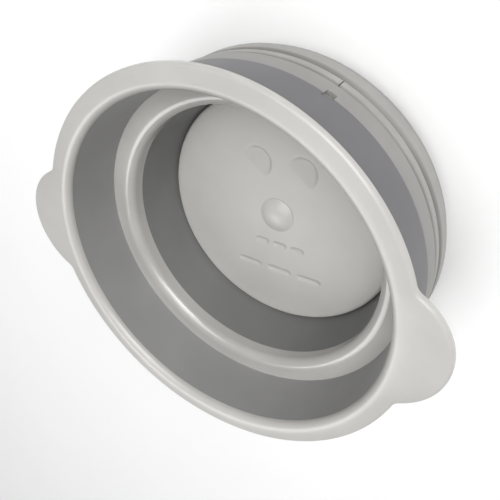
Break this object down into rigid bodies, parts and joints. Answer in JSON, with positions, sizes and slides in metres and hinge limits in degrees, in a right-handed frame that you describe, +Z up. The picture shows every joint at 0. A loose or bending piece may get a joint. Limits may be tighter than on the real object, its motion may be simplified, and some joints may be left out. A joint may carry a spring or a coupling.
{
  "type": "portable mini washer",
  "caption": "Round fold-down bucket washer: eared rim on a soft sleeve, two-step tub with a crowned wash disc, ribbed base with belt drive, drain and side controls.",
  "frame": {"origin": "on the floor under the centre of the feet, on the disc's turning axis", "axes": "+Z up through the mouth, +X through one ear of the rim, -Y through the control panel"},
  "size_m": [0.3216, 0.28, 0.12],
  "materials": {
    "light_plastic": "satin, fine moulded grain",
    "grey_sleeve": "soft matt",
    "grey_tub": "satin",
    "dark_rubber": "matt",
    "steel": "brushed",
    "bearing_steel": "polished",
    "black_plastic": "matt",
    "white_plastic": "matt, unfilled moulding",
    "clear_lens": "glossy, slightly tinted",
    "circuit_board": "solder mask"
  },
  "bodies": {
    "base": {"shoulder_ring": "light_plastic", "collar_ring": "light_plastic", "inner_tub": "grey_tub", "base_housing": "light_plastic", "base_gasket": "dark_rubber", "bottom_cover": "light_plastic", "folding_sleeve": "grey_sleeve", "shaft_seal": "dark_rubber", "upper_bearing": "bearing_steel", "lower_bearing": "bearing_steel", "drive_belt": "dark_rubber", "motor_can": "steel", "motor_end_cap": "black_plastic", "motor_bracket": "steel", "motor_screws": "steel", "bracket_screws": "steel", "cover_screws": "steel", "deck_screws": "steel", "control_panel": "black_plastic", "power_light": "clear_lens", "control_board": "circuit_board", "power_switch": "black_plastic", "mode_switch": "black_plastic", "dc_jack": "black_plastic", "jack_nut": "steel", "cap_pin": "steel", "drain_pipe": "grey_tub", "drain_seal": "dark_rubber", "rubber_feet": "dark_rubber"},
    "rim": {"rim_ring": "light_plastic"},
    "wash_drive": {"wash_disc": "light_plastic", "disc_cap": "light_plastic", "disc_screw": "steel", "drive_shaft": "steel", "driven_pulley": "white_plastic"},
    "motor_drive": {"motor_rotor": "steel", "motor_pulley": "white_plastic"},
    "power_key": {"power_button": "light_plastic"},
    "mode_key": {"mode_button": "light_plastic"},
    "inlet_cover": {"inlet_cap": "dark_rubber"},
    "plug": {"drain_plug": "dark_rubber"}
  },
  "joints": [
    {"name": "rim_fold", "type": "slide", "parent": "base", "child": "rim", "axis": [0, 0, 1], "range_m": [-0.028, 0], "deforming": ["folding_sleeve"]},
    {"name": "disc_spin", "type": "hinge", "parent": "base", "child": "wash_drive", "pos_m": [0, 0, 0.0118], "axis": [0, 0, 1], "continuous": true},
    {"name": "motor_spin", "type": "hinge", "parent": "base", "child": "motor_drive", "pos_m": [0.06454, 0.08883, 0.0118], "axis": [0, 0, 1], "continuous": true},
    {"name": "power_press", "type": "slide", "parent": "base", "child": "power_key", "axis": [0, 1, 0], "range_m": [0, 0.0012], "stiffness_N_per_m": 400},
    {"name": "mode_press", "type": "slide", "parent": "base", "child": "mode_key", "axis": [0, 1, 0], "range_m": [0, 0.0012], "stiffness_N_per_m": 400},
    {"name": "inlet_cap_hinge", "type": "hinge", "parent": "base", "child": "inlet_cover", "pos_m": [-0.11042, -0.069, 0.0435], "axis": [-0.5299, 0.848, 0], "range_deg": [0, 100]},
    {"name": "plug_pull", "type": "slide", "parent": "base", "child": "plug", "axis": [-1, 0, 0], "range_m": [0, 0.012]}
  ],
  "couplings": [
    {"joint": "motor_spin", "follows": "disc_spin", "ratio": 8.8}
  ]
}
